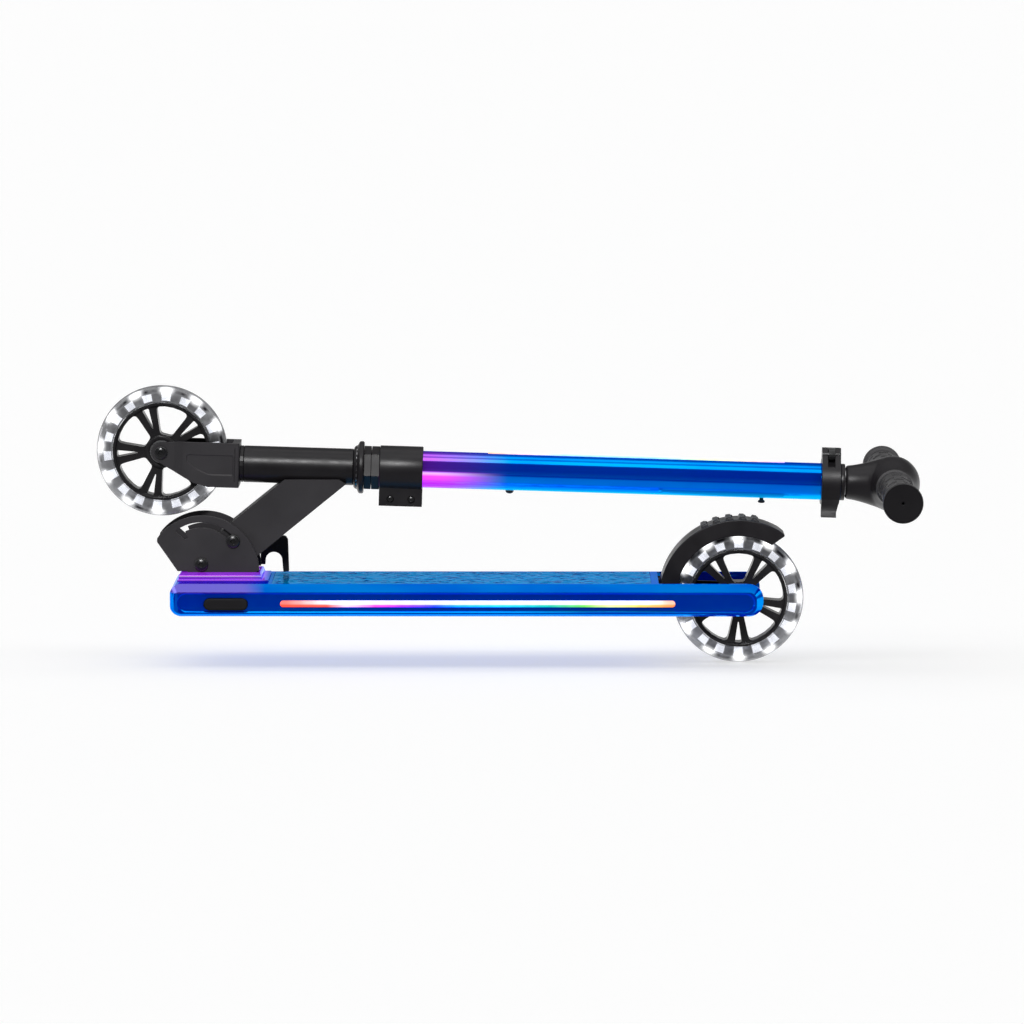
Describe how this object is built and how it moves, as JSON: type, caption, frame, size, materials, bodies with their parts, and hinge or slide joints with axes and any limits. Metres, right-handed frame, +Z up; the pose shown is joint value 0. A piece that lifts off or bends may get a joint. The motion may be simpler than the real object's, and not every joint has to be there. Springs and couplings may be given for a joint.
{
  "type": "kick scooter",
  "caption": "Folding two-wheeled kick scooter, lying folded, with lit clear tyres, lit side strips, a plated blue deck and stem, a fender brake and a height-adjustable handlebar.",
  "frame": {"origin": "on the ground under the middle of the folded object's bounding box, with the rear tyre's lowest point on the ground", "axes": "+X towards the rear wheel and the folded handlebar, -X towards the front wheel, +Y to the rider's right, +Z up"},
  "size_m": [0.7862, 0.33, 0.266],
  "materials": {
    "blue_chrome": "candy-blue mirror plating with a violet fade at the front",
    "black_paint": "satin black powder coat",
    "black_bolts": "black oxide",
    "black_plastic": "fine satin moulding",
    "black_rubber": "matt rubber",
    "clear_tyre": "clear cast polyurethane",
    "lights": "milky light diffuser, lit",
    "bright_steel": "ground and zinc-plated steel"
  },
  "bodies": {
    "deck": {"deck_shell": "blue_chrome", "deck_base_plate": "black_plastic", "deck_top_panel": "blue_chrome", "nose_cover": "blue_chrome", "light_strip_left": "lights", "light_strip_right": "lights", "battery_pack": "black_plastic", "fold_bracket": "black_paint", "pivot_bolt": "black_bolts", "pivot_nut": "black_bolts", "dropout_left": "black_paint", "dropout_right": "black_paint", "rear_axle_bolt": "black_bolts", "rear_axle_nut": "black_bolts", "fender_pin": "bright_steel", "fender_spring": "bright_steel"},
    "switch": {"light_switch": "black_rubber"},
    "rear_wheel": {"rear_rim": "black_plastic", "rear_tyre": "clear_tyre", "rear_led_ring": "lights", "rear_bearing_left": "bright_steel", "rear_bearing_right": "bright_steel"},
    "fender_brake": {"fender": "black_plastic"},
    "neck": {"neck_arm": "black_paint", "head_tube": "black_paint", "upper_cup": "black_paint", "upper_bearing": "bright_steel", "lower_bearing": "bright_steel", "lock_bolt": "black_bolts", "lock_bolt_nut": "black_bolts", "fold_lever_pin": "bright_steel"},
    "fold_latch": {"fold_lever": "black_paint"},
    "steering": {"fork": "black_paint", "adjusting_nut": "black_paint", "headset_lock_nut": "black_paint", "lower_clamp": "black_paint", "clamp_bolt_front": "black_bolts", "clamp_bolt_rear": "black_bolts", "stem_tube": "blue_chrome", "stem_light_strip": "lights", "stem_screw": "black_bolts", "height_bush": "black_plastic", "qr_collar": "black_paint", "qr_bolt": "black_bolts", "qr_nut": "black_bolts", "qr_pin": "bright_steel", "front_axle_bolt": "black_bolts", "front_axle_nut": "black_bolts"},
    "clamp_lever": {"qr_lever": "black_plastic"},
    "height_catch": {"height_button": "black_bolts"},
    "front_wheel": {"front_rim": "black_plastic", "front_tyre": "clear_tyre", "front_led_ring": "lights", "front_bearing_left": "bright_steel", "front_bearing_right": "bright_steel"},
    "handlebar": {"upper_tube": "black_paint", "t_body": "black_plastic", "bar_tube": "black_paint", "grip_left": "black_rubber", "grip_right": "black_rubber"}
  },
  "joints": [
    {"name": "fold", "type": "hinge", "parent": "deck", "child": "neck", "pos_m": [-0.2926, 0, 0.0965], "axis": [0, -1, 0], "range_deg": [0, 87]},
    {"name": "steer", "type": "hinge", "parent": "neck", "child": "steering", "pos_m": [-0.2563, 0, 0.1908], "axis": [0.9995, 0, -0.0305], "range_deg": [-90, 90]},
    {"name": "front_wheel_spin", "type": "hinge", "parent": "steering", "child": "front_wheel", "pos_m": [-0.3306, 0, 0.2035], "axis": [0, 1, 0], "continuous": true},
    {"name": "rear_wheel_spin", "type": "hinge", "parent": "deck", "child": "rear_wheel", "pos_m": [0.22, 0, 0.0625], "axis": [0, 1, 0], "continuous": true},
    {"name": "brake_press", "type": "hinge", "parent": "deck", "child": "fender_brake", "pos_m": [0.15, 0, 0.067], "axis": [0, 1, 0], "range_deg": [0, 5], "stiffness_Nm_per_rad": 1.4, "springref_deg": -8.59},
    {"name": "height_adjust", "type": "slide", "parent": "steering", "child": "handlebar", "axis": [0.9995, 0, -0.0305], "range_m": [0, 0.12]},
    {"name": "clamp_lever_swing", "type": "hinge", "parent": "steering", "child": "clamp_lever", "pos_m": [0.30798, -0.0126, 0.20117], "axis": [-0.9995, 0, 0.0305], "range_deg": [0, 120]},
    {"name": "fold_lever_swing", "type": "hinge", "parent": "neck", "child": "fold_latch", "pos_m": [-0.26222, 0.0326, 0.11882], "axis": [0, 0, 1], "range_deg": [0, 110]},
    {"name": "height_button_press", "type": "slide", "parent": "steering", "child": "height_catch", "axis": [0.0305, 0, 0.9995], "range_m": [0, 0.002], "stiffness_N_per_m": 900, "springref_m": -0.001},
    {"name": "light_switch_press", "type": "slide", "parent": "deck", "child": "switch", "axis": [0, 1, 0], "range_m": [0, 0.0012], "stiffness_N_per_m": 800, "springref_m": -0.0006}
  ]
}
